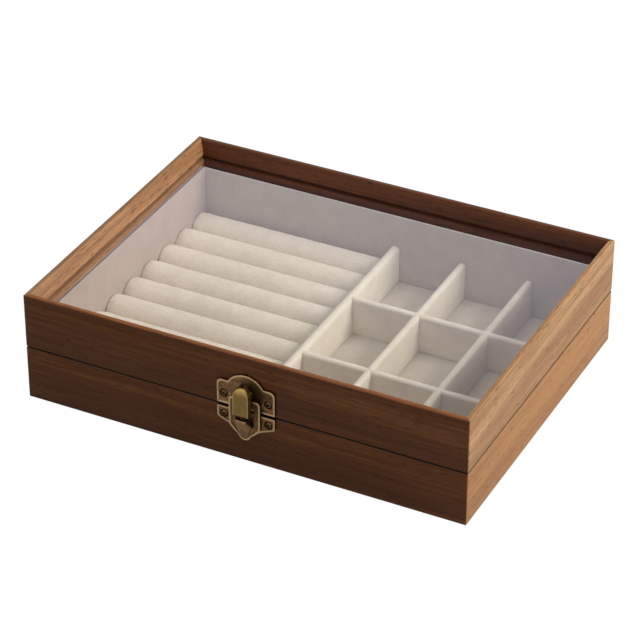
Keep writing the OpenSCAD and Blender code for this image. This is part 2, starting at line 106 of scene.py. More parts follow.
def walnut(name, along, start, shades):
    """Walnut boards, sawn flat, stained and rubbed with satin lacquer: long red-brown streaks,
    darker late wood and short open pores, all running the length of the board."""
    material, tree = new_material(name)
    place = node(tree, "ShaderNodeTexCoord").outputs["Object"]

    def drawn_out(times):
        """Places in millimetres, stretched that many times along the board."""
        scale = [1000.0, 1000.0, 1000.0]
        scale["xy".index(along)] = 1000.0 / times
        return node(tree, "ShaderNodeMapping",
            {"Vector": place, "Location": start, "Scale": scale}).outputs[0]

    figure_place = drawn_out(34)
    fine_place = drawn_out(14)
    # Plain-sawn figure about 11 mm wide, streaks about 1.2 mm, pores drawn 0.5 mm wide so that they show
    figure = node(tree, "ShaderNodeTexNoise", {"Vector": figure_place, "Scale": 1 / 11,
        "Detail": 2.0, "Roughness": 0.5, "Distortion": 0.5}).outputs["Fac"]
    streaks = node(tree, "ShaderNodeTexNoise", {"Vector": figure_place, "Scale": 1 / 1.2,
        "Detail": 3.0, "Roughness": 0.6, "Distortion": 0.15}).outputs["Fac"]
    pores = node(tree, "ShaderNodeTexNoise", {"Vector": fine_place, "Scale": 1 / 0.5,
        "Detail": 1.0, "Roughness": 0.5}).outputs["Fac"]
    mixed = node(tree, "ShaderNodeMix", {"Factor": 0.42, 2: figure, 3: streaks}).outputs[0]
    colour = set_ramp(node(tree, "ShaderNodeValToRGB", {"Fac": mixed}),
        [(0.30, shades[1]), (0.50, shades[2]), (0.68, shades[3])])
    pore_mask = set_ramp(node(tree, "ShaderNodeValToRGB", {"Fac": pores}), [(0.26, 1.0), (0.40, 0.0)])
    pored = node(tree, "ShaderNodeMix", {"Factor": pore_mask, 6: colour, 7: linear(shades[0])},
        data_type="RGBA").outputs[2]
    # The glue line of the mitres, a dark hair along the diagonal planes through the corners
    apart = node(tree, "ShaderNodeSeparateXYZ", {0: place})
    across = node(tree, "ShaderNodeMath", {0: apart.outputs[0]}, operation="ABSOLUTE").outputs[0]
    deep = node(tree, "ShaderNodeMath", {0: apart.outputs[1]}, operation="ABSOLUTE").outputs[0]
    gap = node(tree, "ShaderNodeMath", {0: across, 1: deep}, operation="SUBTRACT").outputs[0]
    glue = node(tree, "ShaderNodeMath", {0: gap, 1: (HALF_W - HALF_D) * MM, 2: 0.14 * MM},
        operation="COMPARE").outputs[0]
    glue_part = node(tree, "ShaderNodeMath", {0: glue, 1: 0.55}, operation="MULTIPLY").outputs[0]
    glued = node(tree, "ShaderNodeMix", {"Factor": glue_part, 6: pored, 7: linear(shades[0])},
        data_type="RGBA").outputs[2]
    # Painted shade in the rounded edges on both sides of the seam between lid and base
    above = node(tree, "ShaderNodeMath", {0: apart.outputs[2], 1: SEAM * MM}, operation="SUBTRACT").outputs[0]
    off_seam = node(tree, "ShaderNodeMath", {0: above}, operation="ABSOLUTE").outputs[0]
    seam_painted_shade = node(tree, "ShaderNodeMapRange", {"Value": off_seam, 1: 0.35 * MM, 2: 0.85 * MM,
        3: 0.85, 4: 0.0}, interpolation_type="SMOOTHSTEP").outputs[0]
    seam_shaded_colour = node(tree, "ShaderNodeMix", {"Factor": seam_painted_shade, 6: glued, 7: linear("#24150B")},
        data_type="RGBA").outputs[2]
    rough = node(tree, "ShaderNodeMapRange", {"Value": streaks, 1: 0.3, 2: 0.7, 3: 0.5, 4: 0.38}).outputs[0]
    bump = node(tree, "ShaderNodeBump", {"Strength": 0.25, "Distance": 0.08 * MM, "Height": pores}).outputs[0]
    shader = node(tree, "ShaderNodeBsdfPrincipled", {"Base Color": seam_shaded_colour, "Roughness": rough,
        "Specular IOR Level": 0.25, "Normal": bump})
    node(tree, "ShaderNodeOutputMaterial", {"Surface": shader.outputs[0]})
    return material


def velvet(name, colour, shade, lay=(1, 1, 1)):
    """Short-pile polyester velvet on card or foam: matt, soft at its edges, with faint cloudy
    patches where the pile leans another way. lay draws the tufts out along x, y or z where it is
    under 1."""
    material, tree = new_material(name)
    place = node(tree, "ShaderNodeTexCoord").outputs["Object"]
    # Leaning pile in patches about 9 mm wide, and tufts drawn 0.7 mm wide so that they show
    patches = node(tree, "ShaderNodeTexNoise", {"Vector": place, "Scale": 1000 / 9,
        "Detail": 1.0, "Roughness": 0.4}).outputs["Fac"]
    lay_place = node(tree, "ShaderNodeMapping", {"Vector": place, "Scale": lay}).outputs[0]
    tufts = node(tree, "ShaderNodeTexNoise", {"Vector": lay_place, "Scale": 1000 / 0.7,
        "Detail": 2.0, "Roughness": 0.6}).outputs["Fac"]
    mixed = node(tree, "ShaderNodeMix", {"Factor": 0.65, 2: patches, 3: tufts}).outputs[0]
    tint = set_ramp(node(tree, "ShaderNodeValToRGB", {"Fac": mixed}), [(0.3, shade), (0.62, colour)])
    bump = node(tree, "ShaderNodeBump", {"Strength": 0.5, "Distance": 0.12 * MM, "Height": tufts}).outputs[0]
    shader = node(tree, "ShaderNodeBsdfPrincipled", {"Base Color": tint, "Roughness": 0.95,
        "Specular IOR Level": 0.15, "Sheen Weight": 0.35, "Sheen Roughness": 0.45,
        "Sheen Tint": linear("#F4EDE4"), "Normal": bump})
    node(tree, "ShaderNodeOutputMaterial", {"Surface": shader.outputs[0]})
    return material


def float_glass(name):
    """Clear float glass: what lies behind shows through, and the room lies over it as a pale haze
    that grows towards a flat view. The front face carries what both faces mirror."""
    material, tree = new_material(name)
    mirror = node(tree, "ShaderNodeFresnel", {"IOR": 1.5}).outputs[0]
    behind = node(tree, "ShaderNodeNewGeometry").outputs["Backfacing"]
    front = node(tree, "ShaderNodeMath", {0: 1.0, 1: behind}, operation="SUBTRACT").outputs[0]
    one_face = node(tree, "ShaderNodeMath", {0: mirror, 1: front}, operation="MULTIPLY").outputs[0]
    both = node(tree, "ShaderNodeMath", {0: one_face, 1: 2.0}, operation="MULTIPLY",
        use_clamp=True).outputs[0]
    clear = node(tree, "ShaderNodeBsdfTransparent", {"Color": (1, 1, 1, 1)}).outputs[0]
    gloss = node(tree, "ShaderNodeBsdfGlossy", {"Color": linear("#EEEAFF"), "Roughness": 0.02}).outputs[0]
    mixed = node(tree, "ShaderNodeMixShader", {0: both, 1: clear, 2: gloss}).outputs[0]
    node(tree, "ShaderNodeOutputMaterial", {"Surface": mixed})
    return material


def cast_bronze(name, shades, heights, outward=-1, blotch=0.12, lever_shadow_spot=None, edges=None, screw_patina_and_shade=None):
    """Die-cast zinc, bronze plated and antiqued: dark in the hollows, with painted shade on the flanks,
    rubbed to brassy metal on what stands proud, with a fine cast grain. shades are the hollows,
    the patina and the rubbed metal. heights pairs a distance from the wood in millimetres with how
    rubbed it is there. blotch is how uneven the rubbing is. lever_shadow_spot is a spot (x, z, inner
    and outer radius) darkened as a painted shadow. edges is a middle line (x) and where the edges on
    both sides of it, rubbed and with a painted highlight, begin and end. screw_patina_and_shade is
    that line, how far the two screws are from it, and their height; round each screw head the metal
    is dark with patina and painted shade."""
    material, tree = new_material(name)

    def spread(value, low, high, start=0.0, end=1.0):
        return node(tree, "ShaderNodeMapRange", {"Value": value, 1: low, 2: high, 3: start, 4: end},
            interpolation_type="SMOOTHSTEP").outputs[0]

    def maths(operation, a, b, c=0.0, clamp=False):
        return node(tree, "ShaderNodeMath", {0: a, 1: b, 2: c}, operation=operation,
            use_clamp=clamp).outputs[0]

    coordinates = node(tree, "ShaderNodeTexCoord").outputs
    place = coordinates["Object"]
    stains = node(tree, "ShaderNodeTexNoise", {"Vector": place, "Scale": 1000 / 3.0,
        "Detail": 4.0, "Roughness": 0.65}).outputs["Fac"]
    cast = node(tree, "ShaderNodeTexNoise", {"Vector": place, "Scale": 1000 / 0.35,
        "Detail": 2.0, "Roughness": 0.5}).outputs["Fac"]
    where = node(tree, "ShaderNodeSeparateXYZ", {0: place}).outputs
    normal = node(tree, "ShaderNodeSeparateXYZ", {0: coordinates["Normal"]}).outputs
    deepest = 8.0
    proud = maths("MULTIPLY_ADD", where[1], outward * 1000 / deepest, -HALF_D / deepest)
    rubbed = set_ramp(node(tree, "ShaderNodeValToRGB", {"Fac": proud}),
        [(height / deepest, level) for height, level in heights])
    rubbed = maths("ADD", rubbed, spread(stains, 0.3, 0.7, -blotch, blotch))
    # Edges lightened on both sides of a middle line: rubbed metal and a painted highlight
    if edges:
        off_line = maths("ABSOLUTE", maths("SUBTRACT", where[0], edges[0] * MM), 0.0)
        rubbed = maths("ADD", rubbed, spread(off_line, edges[1] * MM, edges[2] * MM, 0.0, 0.45))
    # Painted shade on the flanks: faces that do not turn out keep only 0.35 of the rubbing
    facing = spread(maths("MULTIPLY", normal[1], outward), 0.1, 0.75, 0.35, 1.0)
    rubbed = maths("MULTIPLY", rubbed, facing, clamp=True)
    # Painted shadow: a spot darkened as if the lever shaded it
    if lever_shadow_spot:
        spot = node(tree, "ShaderNodeCombineXYZ",
            {0: lever_shadow_spot[0] * MM, 1: where[1], 2: lever_shadow_spot[1] * MM}).outputs[0]
        away = node(tree, "ShaderNodeVectorMath", {0: place, 1: spot},
            operation="DISTANCE").outputs["Value"]
        rubbed = maths("MULTIPLY", rubbed, spread(away, lever_shadow_spot[2] * MM, lever_shadow_spot[3] * MM, 0.3, 1.0))
    # A dark ring round each screw head: patina, and painted shade where the head meets the plate
    if screw_patina_and_shade:
        off_line = maths("ABSOLUTE", maths("SUBTRACT", where[0], screw_patina_and_shade[0] * MM), 0.0)
        beside = maths("SUBTRACT", off_line, screw_patina_and_shade[1] * MM)
        over = maths("SUBTRACT", where[2], screw_patina_and_shade[2] * MM)
        squares = maths("ADD", maths("MULTIPLY", beside, beside), maths("MULTIPLY", over, over))
        away = maths("SQRT", squares, 0.0)
        rubbed = maths("MULTIPLY", rubbed, spread(away, 2.0 * MM, 2.6 * MM, 0.05, 1.0))
    colour = set_ramp(node(tree, "ShaderNodeValToRGB", {"Fac": rubbed}), list(zip((0.02, 0.4, 1.0), shades)))
    rough = node(tree, "ShaderNodeMapRange", {"Value": rubbed, 1: 0.0, 2: 1.0, 3: 0.6, 4: 0.34}).outputs[0]
    bump = node(tree, "ShaderNodeBump", {"Strength": 0.35, "Distance": 0.05 * MM, "Height": cast}).outputs[0]
    shader = node(tree, "ShaderNodeBsdfPrincipled", {"Base Color": colour, "Metallic": 1.0,
        "Roughness": rough, "Normal": bump})
    node(tree, "ShaderNodeOutputMaterial", {"Surface": shader.outputs[0]})
    return material


def stained_board(name):
    """Thin fibreboard with a dark brown stain: even, slightly mottled, with a fine pressed tooth."""
    material, tree = new_material(name)
    place = node(tree, "ShaderNodeTexCoord").outputs["Object"]
    mottle = node(tree, "ShaderNodeTexNoise",
        {"Vector": place, "Scale": 1000 / 14, "Detail": 4.0}).outputs["Fac"]
    tooth = node(tree, "ShaderNodeTexNoise",
        {"Vector": place, "Scale": 1000 / 0.6, "Detail": 1.0}).outputs["Fac"]
    tint = set_ramp(node(tree, "ShaderNodeValToRGB", {"Fac": mottle}), [(0.35, "#3A2618"), (0.65, "#4C3322")])
    bump = node(tree, "ShaderNodeBump", {"Strength": 0.3, "Distance": 0.06 * MM, "Height": tooth}).outputs[0]
    shader = node(tree, "ShaderNodeBsdfPrincipled", {"Base Color": tint, "Roughness": 0.75,
        "Specular IOR Level": 0.3, "Normal": bump})
    node(tree, "ShaderNodeOutputMaterial", {"Surface": shader.outputs[0]})
    return material


# Pores, late wood, middle and early wood. All one walnut: the front is darker with painted shade, the back
# darker still with deeper painted shade, the sides paler with painted light
FRONT_WALNUT_PAINTED_SHADE = ("#31180A", "#573016", "#7A4520", "#A36A35")
BACK_WALNUT_PAINTED_DEEP_SHADE = ("#1E1006", "#3C1B07", "#52270B", "#663816")
RIGHT_WALNUT_PAINTED_LIGHT = ("#5C3F28", "#7C5838", "#9A7450", "#BA966E")
LEFT_WALNUT_STREAKY_PAINTED_LIGHT = ("#4E3520", "#6C4A2D", "#926A45", "#B99168")
BASE_SIDE_WALNUT_QUIET_PAINTED_LIGHT = ("#6A4528", "#8D623C", "#9F734B", "#B18759")
WOOD = {
    "base_front_wall": walnut("walnut_painted_shade_base_front", "x", (3, 8, 1), FRONT_WALNUT_PAINTED_SHADE),
    "base_back_wall": walnut("walnut_painted_deep_shade_base_back", "x", (41, 60, 23), BACK_WALNUT_PAINTED_DEEP_SHADE),
    "base_left_wall": walnut("walnut_painted_light_base_left", "y", (17, 5, 71), BASE_SIDE_WALNUT_QUIET_PAINTED_LIGHT),
    "base_right_wall": walnut("walnut_painted_light_base_right", "y", (29, 3, 47), BASE_SIDE_WALNUT_QUIET_PAINTED_LIGHT),
    "lid_front_rail": walnut("walnut_painted_shade_lid_front", "x", (7, 21, 90), FRONT_WALNUT_PAINTED_SHADE),
    "lid_back_rail": walnut("walnut_painted_deep_shade_lid_back", "x", (51, 33, 12), BACK_WALNUT_PAINTED_DEEP_SHADE),
    "lid_left_rail": walnut("walnut_painted_light_lid_left", "y", (65, 9, 36), LEFT_WALNUT_STREAKY_PAINTED_LIGHT),
    "lid_right_rail": walnut("walnut_painted_light_lid_right", "y", (88, 14, 5), RIGHT_WALNUT_PAINTED_LIGHT),
}
VELVET = velvet("velvet_cream", "#EBE5D6", "#DAD3C3")
# The same cream velvet painted lighter for the cross dividers: painted light on their faces that turn to the
# front
CROSS_VELVET_PAINTED_LIGHT = velvet("velvet_cream_painted_light", "#F4EDDF", "#E6DECF")
# The same velvet painted darker for the floor board: painted shade down in the compartments
FLOOR_VELVET_PAINTED_SHADE = velvet("velvet_on_card_painted_shade", "#D5CDBD", "#C5BCAC")
# Painted darker for the front and back linings: painted shade on those walls
LINING_VELVET_PAINTED_SHADE = velvet("velvet_lining_painted_shade", "#CCC3B7", "#BCB2A5")
# Darker still for the left and right linings: painted shade on those walls
SIDE_VELVET_PAINTED_DEEP_SHADE = velvet("velvet_sides_painted_deep_shade", "#BBADA0", "#A99B8D")
ROLL_VELVET = velvet("velvet_on_foam", "#F0E8D7", "#DDD4C2", (0.35, 1, 1))
GLASS = float_glass("float_glass")
BRONZE = ("#120D08", "#826240", "#D6B58A")
RUBBED_BRONZE = ("#2A2012", "#866D3B", "#C9AC70")
# The plate carries a painted shadow just right of the lever
PLATE_BRONZE = cast_bronze("antiqued_bronze_plate", BRONZE,
    [(0, 0.0), (0.65, 0.0), (0.88, 0.42), (0.97, 0.44), (1.18, 0.9)], lever_shadow_spot=(8.5, 40.5, 3.0, 8.5),
    screw_patina_and_shade=(LATCH_X, EAR, UPPER_SCREW_Z))
# Both plates darken round their screw heads: patina and painted shade
KEEPER_BRONZE = cast_bronze("antiqued_bronze_keeper", BRONZE,
    [(0.65, 0.0), (0.88, 0.4), (0.95, 0.42), (1.18, 0.85), (1.5, 0.3), (2.52, 0.34), (2.78, 0.85), (3.2, 0.4),
        (6.9, 0.55)], blotch=0.08, screw_patina_and_shade=(LATCH_X, EAR, LOWER_SCREW_Z))
# The lever's side edges are lightened: rubbed metal and a painted highlight
LEVER_BRONZE = cast_bronze("rubbed_bronze_lever", RUBBED_BRONZE,
    [(1.0, 0.0), (3.5, 0.3), (5.5, 0.66), (6.5, 0.52), (6.88, 0.46)], blotch=0.05, edges=(LATCH_X, 3.4, 4.1))
SCREW_BRONZE = cast_bronze("antiqued_bronze_screw", BRONZE, [(0.7, 0.0), (0.85, 0.2), (1.2, 0.45)])
HINGE_BRONZE = cast_bronze("antiqued_bronze_hinge", BRONZE, [(0.2, 0.2), (1.0, 0.42), (3.3, 0.75)], outward=1)
BOARD = stained_board("stained_fibreboard")


# Shapes

def to_object(name, mesh):
    made = bpy.data.objects.new(name, mesh)
    scene.collection.objects.link(made)
    return made


def plain_mesh(made):
    """Replaces an object's mesh with what its modifiers make of it, and drops the modifiers."""
    graph = bpy.context.evaluated_depsgraph_get()
    result = bpy.data.meshes.new_from_object(made.evaluated_get(graph), preserve_all_data_layers=True,
        depsgraph=graph)
    made.modifiers.clear()
    made.data = result
    return made


def finish_piece(made, body, material, replaced, sharp):
    """Smooth shading with crisp edges, material, body and the solids it stands for."""
    made.data.materials.clear()
    made.data.materials.append(material)
    made.data.shade_smooth()
    made.data.set_sharp_from_angle(angle=math.radians(sharp))
    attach(made, body)
    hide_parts(*replaced)


def new_tree(name, sockets):
    """A Geometry Nodes group with a geometry input and output, and the named inputs in sockets."""
    tree = bpy.data.node_groups.new(name, "GeometryNodeTree")
    tree.interface.new_socket("Geometry", in_out="INPUT", socket_type="NodeSocketGeometry")
    for label, kind in sockets:
        tree.interface.new_socket(label, in_out="INPUT", socket_type=kind)
    tree.interface.new_socket("Geometry", in_out="OUTPUT", socket_type="NodeSocketGeometry")
    return tree, node(tree, "NodeGroupInput").outputs


def grown(name, mesh, tree, values):
    """Runs a Geometry Nodes tree on a mesh and returns the object with the result as a plain mesh."""
    made = to_object(name, mesh)
    modifier = made.modifiers.new("grow", "NODES")
    modifier.node_group = tree
    for item in tree.interface.items_tree:
        if item.in_out == "INPUT" and item.name in values:
            modifier[item.identifier] = values[item.name]
    return plain_mesh(made)


def rounding(cx, cy, r, a0, a1, steps=6):
    """Points of an arc in a section, angles in degrees."""
    return [(cx + r * math.cos(math.radians(a0 + (a1 - a0) * i / steps)),
        cy + r * math.sin(math.radians(a0 + (a1 - a0) * i / steps))) for i in range(steps + 1)]


def mitred_board_tree():
    """A board whose section, given as one face with x the distance in from the outer side and y the
    height, runs between two mitres and is rounded off at the box's upright edges."""
    tree, given = new_tree("mitred_board", [("Half length", "NodeSocketFloat"),
        ("Half depth", "NodeSocketFloat"), ("Edge radius", "NodeSocketFloat"),
        ("Turn", "NodeSocketFloat"), ("Wood", "NodeSocketMaterial")])
    # Six stations round each upright edge, from its mitre plane at 45 degrees to the flat
    stations, mitre, arc_step = 12, math.radians(45), math.radians(9)

    def maths(operation, a, b=0.0):
        return node(tree, "ShaderNodeMath", {0: a, 1: b}, operation=operation).outputs[0]

    corners = node(tree, "GeometryNodeAttributeDomainSize", {0: given["Geometry"]}).outputs["Point Count"]
    rows = maths("ADD", corners, 1.0)
    grid = node(tree, "GeometryNodeMeshGrid", {"Vertices X": stations, "Vertices Y": rows}).outputs[0]
    index = node(tree, "GeometryNodeInputIndex").outputs[0]
    station = maths("FLOOR", maths("DIVIDE", maths("ADD", index, 0.5), rows))
    corner = maths("MODULO", maths("SUBTRACT", index, maths("MULTIPLY", station, rows)), corners)
    where = node(tree, "GeometryNodeInputPosition").outputs[0]
    section = node(tree, "GeometryNodeSampleIndex", {"Geometry": given["Geometry"], "Value": where,
        "Index": corner}, data_type="FLOAT_VECTOR").outputs[0]

    def place_at(point, side, turn):
        """Where a corner of the section lies. side is -1 or 1, turn the angle on the edge's arc."""
        parts = node(tree, "ShaderNodeSeparateXYZ", {0: point}).outputs
        radius = given["Edge radius"]
        bite = maths("SUBTRACT", radius, maths("MULTIPLY", radius, maths("COSINE", turn)))
        inset = maths("MAXIMUM", parts[0], bite)
        reach = maths("ADD", maths("SUBTRACT", given["Half length"], radius),
            maths("MULTIPLY", radius, maths("SINE", turn)))
        end = maths("MINIMUM", reach, maths("SUBTRACT", given["Half length"], inset))
        return node(tree, "ShaderNodeCombineXYZ", {0: maths("MULTIPLY", side, end),
            1: maths("SUBTRACT", inset, given["Half depth"]), 2: parts[1]}).outputs[0]

    from_end = maths("MINIMUM", station, maths("SUBTRACT", stations - 1.0, station))
    turn = maths("SUBTRACT", mitre, maths("MULTIPLY", from_end, arc_step))
    side = maths("SUBTRACT", maths("MULTIPLY", maths("GREATER_THAN", station, stations / 2 - 0.5), 2.0), 1.0)
    skin = node(tree, "GeometryNodeSetPosition", {"Geometry": grid,
        "Position": place_at(section, side, turn)}).outputs[0]
    low_end = node(tree, "GeometryNodeSetPosition", {"Geometry": given["Geometry"],
        "Position": place_at(where, -1.0, mitre)}).outputs[0]
    high_end = node(tree, "GeometryNodeSetPosition", {"Geometry": given["Geometry"],
        "Position": place_at(where, 1.0, mitre)}).outputs[0]
    joined = node(tree, "GeometryNodeJoinGeometry")
    for part in (skin, node(tree, "GeometryNodeFlipFaces", {0: low_end}).outputs[0], high_end):
        tree.links.new(part, joined.inputs[0])
    merged = node(tree, "GeometryNodeMergeByDistance", {"Geometry": joined.outputs[0],
        "Distance": 0.004 * MM}).outputs[0]
    angle = node(tree, "ShaderNodeCombineXYZ", {2: given["Turn"]}).outputs[0]
    turned = node(tree, "GeometryNodeTransform", {"Geometry": merged, "Rotation": angle}).outputs[0]
    real = node(tree, "GeometryNodeRealizeInstances", {"Geometry": turned}).outputs[0]
    done = node(tree, "GeometryNodeSetMaterial", {"Geometry": real, "Material": given["Wood"]}).outputs[0]
    node(tree, "NodeGroupOutput", {0: done})
    return tree


def section_mesh(points):
    """One face from the corners of a section, in millimetres."""
    mesh = bpy.data.meshes.new("section")
    mesh.from_pydata([(x * MM, y * MM, 0) for x, y in points], [], [list(range(len(points)))])
    return mesh


def frame_boards():
    """The four walls of the base and the four moulded rails of the lid."""
    base = (rounding(EDGE_R, SEAM_LOW - EDGE_R, EDGE_R, 90, 180) + rounding(EDGE_R, EDGE_R, EDGE_R, 180, 270)
        + [(RABBET, 0), (RABBET, BOTTOM), (WALL, BOTTOM), (WALL, SEAM_LOW)])
    top_flat, moulding_in, shoulder, steps = 3, 2.1, 0.45, 18
    fall = LID_TOP - shoulder - GLASS_TOP
    swell = [(top_flat + moulding_in * math.sin(math.pi / 2 * i / steps),
        LID_TOP - shoulder - fall * i / steps) for i in range(steps + 1)]
    rebate_top = LINING_TOP + 0.4
    lid = (rounding(EDGE_R, LID_TOP - EDGE_R, EDGE_R, 90, 180)
        + rounding(EDGE_R, SEAM_HIGH + EDGE_R, EDGE_R, 180, 270)
        + [(WALL - LIP_PLAY, SEAM_HIGH), (WALL - LIP_PLAY, rebate_top), (WALL, rebate_top),
            (WALL, GLASS_LOW), (GROOVE, GLASS_LOW), (GROOVE, GLASS_TOP)]
        + swell[::-1] + [(2.82, LID_TOP - 0.13), (2.45, LID_TOP)])
    tree = mitred_board_tree()
    for level, section, ending in (("base", base, "wall"), ("lid", lid, "rail")):
        for side, turn in (("front", 0), ("right", 90), ("back", 180), ("left", 270)):
            name = f"{level}_{side}_{ending}"
            half = (HALF_W, HALF_D) if turn % 180 == 0 else (HALF_D, HALF_W)
            board = grown(f"{name}_board", section_mesh(section), tree, {"Half length": half[0] * MM,
                "Half depth": half[1] * MM, "Edge radius": EDGE_R * MM, "Turn": math.radians(turn),
                "Wood": WOOD[name]})
            finish_piece(board, level, WOOD[name], [name], sharp=30)


def loft(name, rings):
    """A skin through rings of points with the same count, in millimetres, capped at both ends."""
    mesh = bpy.data.meshes.new(name)
    count = len(rings[0])
    vertices = [Vector(p) * MM for ring in rings for p in ring]
    faces = []
    for i in range(len(rings) - 1):
        for j in range(count):
            k = (j + 1) % count
            near, far = i * count, (i + 1) * count
            faces.append((near + j, near + k, far + k, far + j))
    faces.append(tuple(range(count - 1, -1, -1)))
    faces.append(tuple(range((len(rings) - 1) * count, len(rings) * count)))
    mesh.from_pydata(vertices, [], faces)
    shell = bmesh.new()
    shell.from_mesh(mesh)
    bmesh.ops.recalc_face_normals(shell, faces=shell.faces)
    shell.to_mesh(mesh)
    shell.free()
    return mesh


def wrapped_section(half, low, high, top_r, low_r=0.3, steps=6):
    """Section of a velvet-wrapped card: across from -half to half, rounded at top and foot."""
    points = rounding(half - top_r, high - top_r, top_r, 0, 90, steps)
    points += rounding(-half + top_r, high - top_r, top_r, 90, 180, steps)
    rise = [high - top_r - (high - top_r - low - low_r) * i / 7 for i in range(1, 7)]
    points += [(-half, z) for z in rise]
    points += rounding(-half + low_r, low + low_r, low_r, 180, 270, 2)
    points += rounding(half - low_r, low + low_r, low_r, 270, 360, 2)
    points += [(half, z) for z in rise[::-1]]
    return points


def wrapped_strip(name, section, along, middle, start, end, seed, wave=0.10):
    """A velvet-wrapped strip that runs along x or y, with the slight unevenness of cloth glued by hand."""
    station_gap, foot_top = 2.2, 12
    steps = max(2, round((end - start) / station_gap))
    rings = []
    for i in range(steps + 1):
        reach = start + (end - start) * i / steps
        ring = []
        for across, z in section:
            lean = noise.noise(Vector((reach / 17, z / 9, seed + (3 if across > 0 else 0))))
            sag = noise.noise(Vector((reach / 11, across / 5, seed + 7)))
            offset = middle + across - math.copysign(wave * (0.5 + 0.5 * lean), across)
            height = z - wave * (0.6 + 0.6 * sag) * (1 if z > foot_top else 0)
            ring.append((reach, offset, height) if along == "x" else (offset, reach, height))
        rings.append(ring)
    return to_object(name, loft(name, rings))


def cut_away(made, mesh):
    """Takes a mesh's shape away from a piece."""
    cutter = to_object("cutter", mesh)
    modifier = made.modifiers.new("cut", "BOOLEAN")
    modifier.object = cutter
    modifier.operation = "DIFFERENCE"
    plain_mesh(made)
    bpy.data.objects.remove(cutter)


def cut_notches(made, notches):
    """Cuts boxes, each given by its lowest and highest corner in millimetres, out of a piece."""
    for low, high in notches:
        tool = bpy.data.meshes.new("notch")
        shell = bmesh.new()
        bmesh.ops.create_cube(shell, size=1.0)
        size = [(h - l) * MM for l, h in zip(low, high)]
        middle = [(h + l) / 2 * MM for l, h in zip(low, high)]
        bmesh.ops.transform(shell, verts=shell.verts,
            matrix=Matrix.Translation(middle) @ Matrix.Diagonal((*size, 1)))
        shell.to_mesh(tool)
        shell.free()
        cut_away(made, tool)


def dividers():
    """Main divider, two long dividers notched from above and two cross dividers notched from below."""
    lap = (FLOOR + DIVIDER_TOP) / 2
    across = (INNER_W - MAIN_RIGHT - 2 * THIN) / 3
    deep = (2 * INNER_D - 2 * THIN) / 3
    long_x = [MAIN_RIGHT + (across + THIN) * i - THIN / 2 for i in (1, 2)]
    cross_y = [-INNER_D + (deep + THIN) * i - THIN / 2 for i in (1, 2)]
    # Half widths of the notches in the long dividers, cut from above, and in the cross dividers
    long_notch, cross_notch = 0.6, 1.84
    section = wrapped_section(MAIN_THICK / 2, FLOOR, DIVIDER_TOP, 2.3)
    main = wrapped_strip("main_divider_wrapped", section, "y", MAIN_MIDDLE, -INNER_D, INNER_D, 1)
    finish_piece(main, "base", VELVET, ["main_divider"], sharp=60)
    section = wrapped_section(THIN / 2, FLOOR, DIVIDER_TOP, 1.85)
    for i, x in enumerate(long_x):
        strip = wrapped_strip(f"long_divider_{i + 1}_wrapped", section, "y", x, -INNER_D, INNER_D, 11 + i)
        cut_notches(strip, [((x - THIN, y - long_notch, lap), (x + THIN, y + long_notch, DIVIDER_TOP + 3))
            for y in cross_y])
        finish_piece(strip, "base", VELVET, [f"long_divider_{i + 1}"], sharp=60)
    for i, y in enumerate(cross_y):
        strip = wrapped_strip(f"cross_divider_{i + 1}_wrapped", section, "x", y, MAIN_RIGHT, INNER_W, 21 + i)
        cut_notches(strip, [((x - cross_notch, y - THIN, FLOOR - 3), (x + cross_notch, y + THIN, lap))
            for x in long_x])
        finish_piece(strip, "base", CROSS_VELVET_PAINTED_LIGHT, [f"cross_divider_{i + 1}"], sharp=60)


def linings():
    """Velvet-covered cards against the walls of the base, which stand up into the lid."""
    section = wrapped_section(LINER / 2, FLOOR, LINING_TOP, 0.5, 0.3, 4)
    for side, along, sign, seed, material in (
        ("front", "x", -1, 31, LINING_VELVET_PAINTED_SHADE),
        ("back", "x", 1, 32, LINING_VELVET_PAINTED_SHADE),
        ("left", "y", -1, 41, SIDE_VELVET_PAINTED_DEEP_SHADE),
        ("right", "y", 1, 42, SIDE_VELVET_PAINTED_DEEP_SHADE),
    ):
        inner, reach = (INNER_D, INNER_W) if along == "x" else (INNER_W, INNER_D + LINER)
        strip = wrapped_strip(f"base_{side}_liner_covered", section, along, sign * (inner + LINER / 2),
            -reach, reach, seed, 0.05)
        finish_piece(strip, "base", material, [f"base_{side}_liner"], sharp=60)


def floor_board():
    """Velvet-covered floor board, with the slight puff of the cloth over its card."""
    half_x, half_y = HALF_W - WALL, HALF_D - WALL
    across, deep = 90, 68
    rings = []
    for i in range(across + 1):
        x = -half_x + 2 * half_x * i / across
        ring = []
        for j in range(deep + 1):
            y = -half_y + 2 * half_y * j / deep
            puff = noise.noise(Vector((x / 15, y / 15, 3))) * 0.08
            ring.append((x, y, FLOOR - 0.12 + puff))
        ring += [(x, half_y, BOTTOM), (x, -half_y, BOTTOM)]
        rings.append(ring)
    board = to_object("floor_pad_covered", loft("floor_pad_covered", rings))
    finish_piece(board, "base", FLOOR_VELVET_PAINTED_SHADE, ["floor_pad"], sharp=50)


